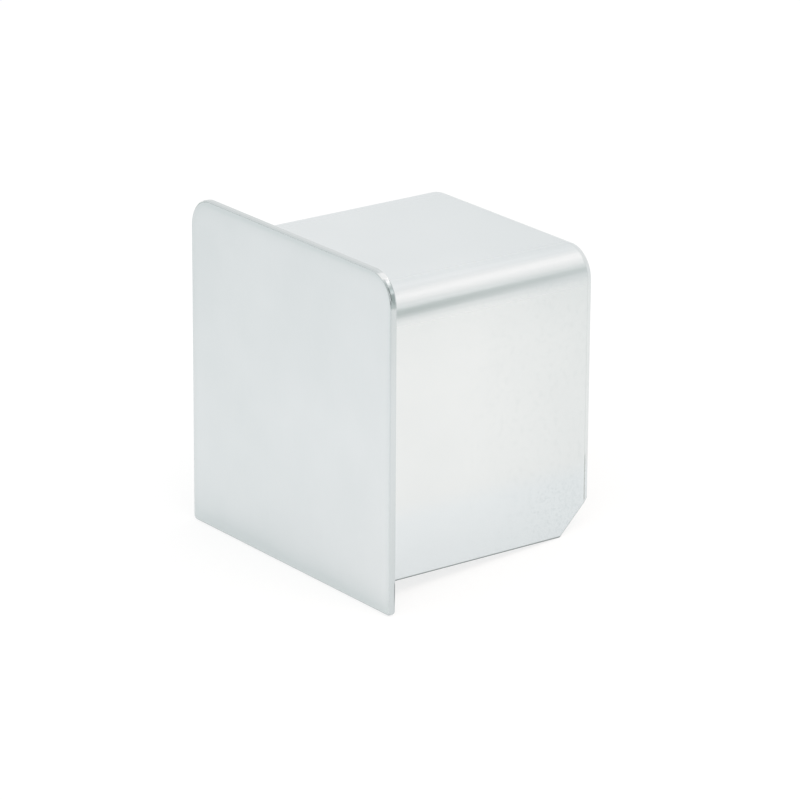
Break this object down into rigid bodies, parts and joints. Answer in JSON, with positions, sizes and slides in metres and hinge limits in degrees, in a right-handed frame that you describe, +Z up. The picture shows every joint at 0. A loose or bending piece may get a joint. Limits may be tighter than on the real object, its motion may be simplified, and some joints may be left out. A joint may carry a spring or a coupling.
{
  "type": "profile end cap",
  "caption": "Flat cover plate with rounded upper corners, welded to a folded, open-bottomed U insert that slides into the end of a box profile and closes it.",
  "frame": {"origin": "centre of the face plate's back face, the plane that the end of the profile meets", "axes": "+Y is the way the insert goes into the profile, away from the face plate; +Z is up, towards the insert's web and the plate's rounded corners; +X is across the cap, which is the same left and right"},
  "size_m": [0.068, 0.0545, 0.07],
  "materials": {
    "satin_sheet": "fine satin, pale silver, slightly cool",
    "weld_metal": "rippled weld stitches, brushed clean, slightly darker than the sheet"
  },
  "bodies": {
    "root": {"face_plate": "satin_sheet", "insert_channel": "satin_sheet", "weld_beads": "weld_metal"}
  },
  "joints": []
}
